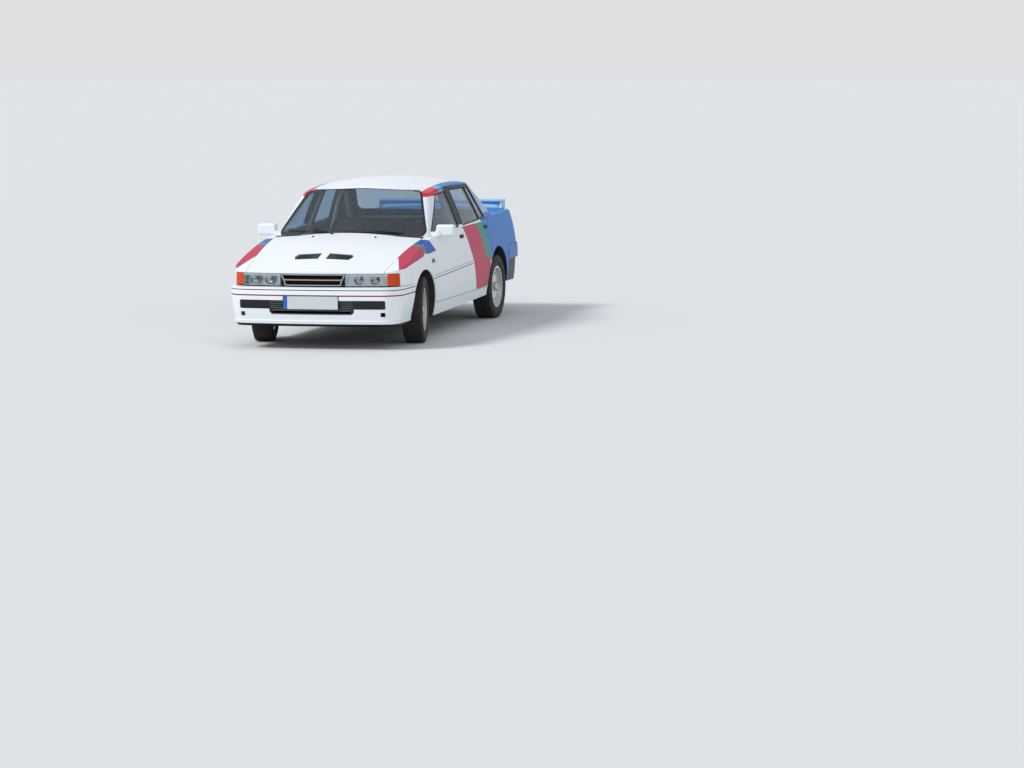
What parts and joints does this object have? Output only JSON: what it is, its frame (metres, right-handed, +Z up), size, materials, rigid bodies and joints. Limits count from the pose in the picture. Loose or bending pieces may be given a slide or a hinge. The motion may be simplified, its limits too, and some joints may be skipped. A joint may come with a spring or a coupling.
{
  "type": "rally car",
  "caption": "Four-door rally saloon with opening doors, bonnet and boot lid, steering front wheels and turning wheels on its axles.",
  "frame": {"origin": "on the ground under the middle of the car's length and width", "axes": "-Y forwards, +X to the car's left, +Z up"},
  "size_m": [1.93, 4.5598, 1.4399],
  "materials": {
    "underbody": "satin underbody coating",
    "body_white": "gloss",
    "body_blue": "gloss",
    "door_paint": "gloss",
    "bumper_white": "gloss",
    "bumper_blue": "gloss",
    "black_plastic": "matte",
    "grille": "matte with bright frame",
    "lamp_clear": "clear lens",
    "lamp_bowl": "bright reflector",
    "lamp_amber": "amber lens",
    "lamp_red": "red lens",
    "screen_glass": "laminated",
    "side_glass": "tempered",
    "plate": "gloss",
    "dashboard": "grained",
    "seat_fabric": "woven",
    "steering_rim": "suede",
    "cage_steel": "satin",
    "engine": "cast",
    "exhaust_steel": "heat stained",
    "driveline_steel": "satin",
    "chassis_steel": "satin",
    "knuckle_iron": "cast",
    "tyre": "moulded",
    "rim_alloy": "machined and lacquered"
  },
  "bodies": {
    "body": {"floor_pan": "underbody", "front_structure": "underbody", "roof": "body_white", "rear_panel": "body_blue", "rear_shelf": "body_blue", "front_bumper": "bumper_white", "bumper_grille": "black_plastic", "rear_bumper": "bumper_blue", "grille": "grille", "headlamps": "lamp_bowl", "headlamp_lenses": "lamp_clear", "indicators": "lamp_amber", "tail_lamps": "lamp_red", "windscreen": "screen_glass", "rear_window": "screen_glass", "wipers": "black_plastic", "plate_front": "plate", "dashboard": "dashboard", "front_seats": "seat_fabric", "steering_wheel": "steering_rim", "roll_cage": "cage_steel", "engine_block": "engine", "exhaust": "exhaust_steel", "driveline": "driveline_steel", "front_suspension": "chassis_steel", "rear_suspension": "chassis_steel", "body_side_left": "body_blue", "fender_left": "body_white", "body_side_right": "body_blue", "fender_right": "body_white"},
    "bonnet": {"bonnet": "body_white"},
    "boot_lid": {"boot_lid": "body_blue", "plate_rear": "plate"},
    "door_front_left": {"door_front_left": "door_paint", "glass_front_left": "side_glass", "mirror_left": "body_white"},
    "door_rear_left": {"door_rear_left": "door_paint", "glass_rear_left": "side_glass"},
    "knuckle_left": {"knuckle_left": "knuckle_iron"},
    "wheel_front_left": {"tyre_front_left": "tyre", "rim_front_left": "rim_alloy"},
    "wheel_rear_left": {"tyre_rear_left": "tyre", "rim_rear_left": "rim_alloy"},
    "door_front_right": {"door_front_right": "door_paint", "glass_front_right": "side_glass", "mirror_right": "body_white"},
    "door_rear_right": {"door_rear_right": "door_paint", "glass_rear_right": "side_glass"},
    "knuckle_right": {"knuckle_right": "knuckle_iron"},
    "wheel_front_right": {"tyre_front_right": "tyre", "rim_front_right": "rim_alloy"},
    "wheel_rear_right": {"tyre_rear_right": "tyre", "rim_rear_right": "rim_alloy"}
  },
  "joints": [
    {"name": "door_front_left", "type": "hinge", "parent": "body", "child": "door_front_left", "pos_m": [0.8335, -0.94, 0.64], "axis": [0, 0, -1], "range_deg": [0, 65]},
    {"name": "door_rear_left", "type": "hinge", "parent": "body", "child": "door_rear_left", "pos_m": [0.8335, 0.093, 0.64], "axis": [0, 0, -1], "range_deg": [0, 65]},
    {"name": "steer_left", "type": "hinge", "parent": "body", "child": "knuckle_left", "pos_m": [0.65, -1.375, 0.308], "axis": [0, 0, 1], "range_deg": [-41.5, 22.5]},
    {"name": "roll_front_left", "type": "hinge", "parent": "knuckle_left", "child": "wheel_front_left", "pos_m": [0.7289, -1.3618, 0.308], "axis": [0.9863, 0.165, 0], "continuous": true},
    {"name": "roll_rear_left", "type": "hinge", "parent": "body", "child": "wheel_rear_left", "pos_m": [0.725, 1.225, 0.308], "axis": [1, 0, 0], "continuous": true},
    {"name": "door_front_right", "type": "hinge", "parent": "body", "child": "door_front_right", "pos_m": [-0.8335, -0.94, 0.64], "axis": [0, 0, 1], "range_deg": [0, 65]},
    {"name": "door_rear_right", "type": "hinge", "parent": "body", "child": "door_rear_right", "pos_m": [-0.8335, 0.093, 0.64], "axis": [0, 0, 1], "range_deg": [0, 65]},
    {"name": "steer_right", "type": "hinge", "parent": "body", "child": "knuckle_right", "pos_m": [-0.65, -1.375, 0.308], "axis": [0, 0, 1], "range_deg": [-41.5, 22.5]},
    {"name": "roll_front_right", "type": "hinge", "parent": "knuckle_right", "child": "wheel_front_right", "pos_m": [-0.7289, -1.3882, 0.308], "axis": [0.9863, 0.165, 0], "continuous": true},
    {"name": "roll_rear_right", "type": "hinge", "parent": "body", "child": "wheel_rear_right", "pos_m": [-0.725, 1.225, 0.308], "axis": [1, 0, 0], "continuous": true},
    {"name": "bonnet_lift", "type": "hinge", "parent": "body", "child": "bonnet", "pos_m": [0, -1.08, 0.994], "axis": [-1, 0, 0], "range_deg": [0, 48]},
    {"name": "boot_lift", "type": "hinge", "parent": "body", "child": "boot_lid", "pos_m": [0, 1.54, 0.981], "axis": [1, 0, 0], "range_deg": [0, 65]}
  ],
  "couplings": [
    {"joint": "steer_right", "follows": "steer_left", "ratio": 1}
  ]
}
